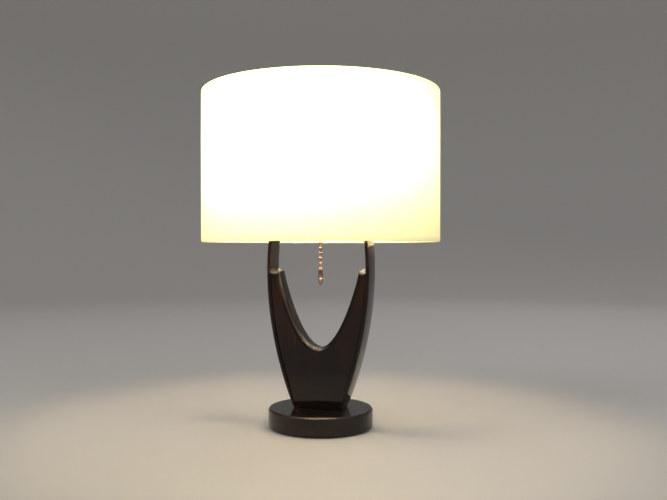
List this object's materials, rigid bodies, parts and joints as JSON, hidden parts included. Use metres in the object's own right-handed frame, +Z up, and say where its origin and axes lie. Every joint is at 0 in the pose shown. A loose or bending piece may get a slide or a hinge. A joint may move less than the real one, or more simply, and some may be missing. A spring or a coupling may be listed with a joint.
{
  "type": "table lamp",
  "caption": "Table lamp with a drum fabric shade on a harp, a forked wooden yoke between bentwood arms, a round base and a pull-chain switch.",
  "frame": {"origin": "middle of the base's underside, on the table", "axes": "+Z up along the shade's axis; +X to the right arm; -Y is the front, where the pull chain hangs"},
  "size_m": [0.3048, 0.3048, 0.4288],
  "materials": {
    "espresso_wood": "dark espresso stain under gloss lacquer",
    "felt": "black pressed felt",
    "iron": "rough cast",
    "steel": "zinc plated",
    "birch": "plain turned",
    "black_plastic": "matt moulded",
    "brass": "polished, lacquered",
    "copper_brass": "polished, copper-toned",
    "phenolic": "moulded phenolic",
    "card": "pressed insulating card",
    "white_wire": "white enamel",
    "shade_fabric": "fine plain-weave off-white cloth",
    "shade_liner": "translucent styrene",
    "bulb_glass": "frosted white glass"
  },
  "bodies": {
    "lamp": {"base_disc": "espresso_wood", "yoke_block": "espresso_wood", "arm_left": "espresso_wood", "arm_right": "espresso_wood", "crossbar": "espresso_wood", "base_felt": "felt", "base_weight": "iron", "yoke_bolt_left": "steel", "yoke_bolt_right": "steel", "bolt_washer_left": "steel", "bolt_washer_right": "steel", "weight_screw_1": "steel", "weight_screw_2": "steel", "weight_screw_3": "steel", "bar_screw_left_front": "steel", "bar_screw_left_back": "steel", "bar_screw_right_front": "steel", "bar_screw_right_back": "steel", "lever_pin": "steel", "dowel_left_lower": "birch", "dowel_left_upper": "birch", "dowel_right_lower": "birch", "dowel_right_upper": "birch", "cord_bushing": "black_plastic", "threaded_nipple": "brass", "nipple_nut": "brass", "nipple_washer": "brass", "harp_saddle": "brass", "harp": "brass", "harp_stud": "brass", "socket_cap": "brass", "socket_shell": "brass", "socket_thread": "brass", "socket_contact": "brass", "terminal_screw_left": "brass", "terminal_screw_right": "brass", "chain_guide": "brass", "socket_body": "phenolic", "socket_liner": "card"},
    "finial": {"finial": "brass"},
    "shade": {"shade_fabric": "shade_fabric", "shade_liner": "shade_liner", "shade_top_ring": "white_wire", "shade_bottom_ring": "white_wire", "shade_spider": "white_wire"},
    "bulb": {"bulb_glass": "bulb_glass", "bulb_base": "steel", "bulb_insulator": "black_plastic", "bulb_contact": "steel", "bulb_stem": "bulb_glass", "bulb_filament": "steel"},
    "lever": {"switch_lever": "steel"},
    "chain_top": {"chain_upper": "copper_brass"},
    "chain": {"chain_lower": "copper_brass"},
    "bell": {"bell_pull": "copper_brass"},
    "ferrule_left": {"harp_ferrule_left": "brass"},
    "ferrule_right": {"harp_ferrule_right": "brass"}
  },
  "joints": [
    {"name": "shade_turn", "type": "hinge", "parent": "lamp", "child": "shade", "pos_m": [0, 0, 0.4039], "axis": [0, 0, 1], "continuous": true},
    {"name": "finial_lift", "type": "slide", "parent": "lamp", "child": "finial", "axis": [0, 0, 1], "range_m": [0, 0.012]},
    {"name": "bulb_turn", "type": "hinge", "parent": "lamp", "child": "bulb", "pos_m": [0, 0, 0.306], "axis": [0, 0, 1], "continuous": true},
    {"name": "chain_pull", "type": "slide", "parent": "lamp", "child": "chain_top", "axis": [0, 0, -1], "range_m": [0, 0.0082], "stiffness_N_per_m": 600, "springref_m": -0.003},
    {"name": "lever_turn", "type": "hinge", "parent": "lamp", "child": "lever", "pos_m": [0.00261, -0.00756, 0.2795], "axis": [0.9455, 0.3256, 0], "range_deg": [0, 32]},
    {"name": "chain_swing", "type": "hinge", "parent": "chain_top", "child": "chain", "pos_m": [0.00739, -0.02146, 0.26458], "axis": [-0.9455, -0.3256, 0], "range_deg": [-20, 35]},
    {"name": "bell_swing", "type": "hinge", "parent": "chain", "child": "bell", "pos_m": [0.00739, -0.02146, 0.20655], "axis": [0.3256, -0.9455, 0], "range_deg": [-25, 25]},
    {"name": "ferrule_left_lift", "type": "slide", "parent": "lamp", "child": "ferrule_left", "axis": [0, 0, 1], "range_m": [0, 0.01]},
    {"name": "ferrule_right_lift", "type": "slide", "parent": "lamp", "child": "ferrule_right", "axis": [0, 0, 1], "range_m": [0, 0.01]}
  ],
  "couplings": [
    {"joint": "lever_turn", "follows": "chain_pull", "rad_per_m": 67.54}
  ]
}
